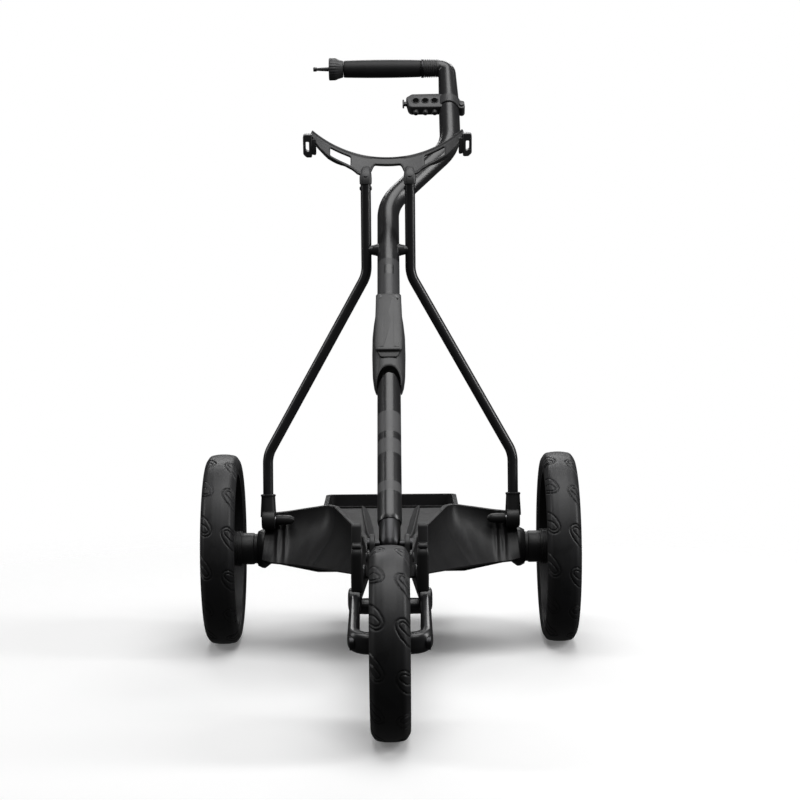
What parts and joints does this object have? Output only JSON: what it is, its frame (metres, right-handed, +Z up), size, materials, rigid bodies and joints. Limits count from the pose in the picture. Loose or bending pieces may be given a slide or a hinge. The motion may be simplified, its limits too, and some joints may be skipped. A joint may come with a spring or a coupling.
{
  "type": "golf trolley",
  "caption": "Folding three-wheeled golf trolley with powered rear wheels, a bent handle and a cradle that carries a golf bag.",
  "frame": {"origin": "on the ground under the middle of the trolley's bounding box", "axes": "+X to the trolley's left seen from its handle, +Y from the front wheel to the handle, +Z up"},
  "size_m": [0.582, 1.0382, 0.9396],
  "materials": {
    "tyre_rubber": "matte",
    "wheel_plastic": "satin",
    "hub_plastic": "satin",
    "steel": "brushed",
    "housing_plastic": "fine grain satin",
    "tube_black": "gloss",
    "motor_metal": "satin",
    "board_green": "matte",
    "battery_plastic": "satin",
    "contact_brass": "satin",
    "cradle_plastic": "satin",
    "latch_plastic": "satin",
    "lever_plastic": "satin",
    "grip_rubber": "satin",
    "pad_rubber": "matte",
    "sleeve_metal": "satin",
    "bush_nylon": "matte"
  },
  "bodies": {
    "chassis": {"chassis_shell": "housing_plastic", "underbody": "housing_plastic", "underbody_screws": "steel", "axle_tube_left": "housing_plastic", "axle_tube_right": "housing_plastic", "bearing_flange_left": "hub_plastic", "bearing_flange_right": "hub_plastic", "axle_bearings": "steel", "motor_left": "motor_metal", "motor_right": "motor_metal", "gearbox_left": "motor_metal", "gearbox_right": "motor_metal", "motor_controller": "board_green", "battery_tray": "housing_plastic", "battery_pack": "battery_plastic", "battery_contacts": "contact_brass", "fold_pivot_pins": "steel", "spine_pivot_bolt": "steel", "fork_leg_left": "tube_black", "fork_leg_right": "tube_black", "fork_crossbar": "tube_black", "front_axle": "steel", "front_axle_nuts": "steel", "bag_stop_left": "cradle_plastic", "bag_stop_right": "cradle_plastic", "bag_stop_pads": "pad_rubber"},
    "rear_wheel_left": {"rear_tyre_left": "tyre_rubber", "rear_rim_left": "wheel_plastic", "hub_cap_left": "hub_plastic", "drive_shaft_left": "steel"},
    "rear_wheel_right": {"rear_tyre_right": "tyre_rubber", "rear_rim_right": "wheel_plastic", "hub_cap_right": "hub_plastic", "drive_shaft_right": "steel"},
    "front_wheel": {"front_tyre": "tyre_rubber", "front_rim": "wheel_plastic", "front_bearings": "steel"},
    "stay_frame": {"stay_left": "tube_black", "stay_right": "tube_black", "stay_knuckle_left": "cradle_plastic", "stay_knuckle_right": "cradle_plastic", "crossbar": "tube_black", "upper_cradle": "cradle_plastic", "strap_loops": "cradle_plastic", "cradle_rivets": "steel"},
    "lower_spine": {"lower_spine_tube": "tube_black", "spine_end_sleeve": "sleeve_metal", "latch_striker": "steel"},
    "handle": {"handle_tube": "tube_black", "handle_pivot_bush": "bush_nylon", "latch_shroud": "latch_plastic", "lever_pin": "steel", "lever_spring": "steel", "handle_grip": "grip_rubber", "grip_collar": "grip_rubber", "tee_holder": "cradle_plastic", "tee_holder_bolt": "steel"},
    "lever": {"latch_lever": "lever_plastic"},
    "dial": {"speed_dial": "latch_plastic"},
    "button": {"power_button": "latch_plastic"}
  },
  "joints": [
    {"name": "rear_wheel_left_spin", "type": "hinge", "parent": "chassis", "child": "rear_wheel_left", "pos_m": [-0.265, 0.22741, 0.15], "axis": [1, 0, 0], "continuous": true},
    {"name": "rear_wheel_right_spin", "type": "hinge", "parent": "chassis", "child": "rear_wheel_right", "pos_m": [0.265, 0.22741, 0.15], "axis": [1, 0, 0], "continuous": true},
    {"name": "front_wheel_spin", "type": "hinge", "parent": "chassis", "child": "front_wheel", "pos_m": [0, -0.39259, 0.1265], "axis": [1, 0, 0], "continuous": true},
    {"name": "frame_fold", "type": "hinge", "parent": "chassis", "child": "stay_frame", "pos_m": [0, 0.16541, 0.205], "axis": [1, 0, 0], "range_deg": [0, 70]},
    {"name": "handle_fold", "type": "hinge", "parent": "stay_frame", "child": "handle", "pos_m": [0, 0.18241, 0.622], "axis": [1, 0, 0], "range_deg": [-106, 0]},
    {"name": "lower_spine_fold", "type": "hinge", "parent": "chassis", "child": "lower_spine", "pos_m": [0, -0.23459, 0.23], "axis": [1, 0, 0], "range_deg": [-35.5, 0]},
    {"name": "latch_lever_lift", "type": "hinge", "parent": "handle", "child": "lever", "pos_m": [0, 0.077, 0.5531], "axis": [-1, 0, 0], "range_deg": [0, 18], "stiffness_Nm_per_rad": 0.6, "springref_deg": -20.05},
    {"name": "speed_dial_turn", "type": "hinge", "parent": "handle", "child": "dial", "pos_m": [-0.072, 0.50009, 0.92063], "axis": [-1, 0, 0], "range_deg": [0, 270]},
    {"name": "power_button_press", "type": "slide", "parent": "dial", "child": "button", "axis": [1, 0, 0], "range_m": [0, 0.0025], "stiffness_N_per_m": 250}
  ],
  "couplings": [
    {"joint": "handle_fold", "follows": "frame_fold", "ratio": -1.5},
    {"joint": "lower_spine_fold", "follows": "frame_fold", "ratio": -0.5}
  ]
}
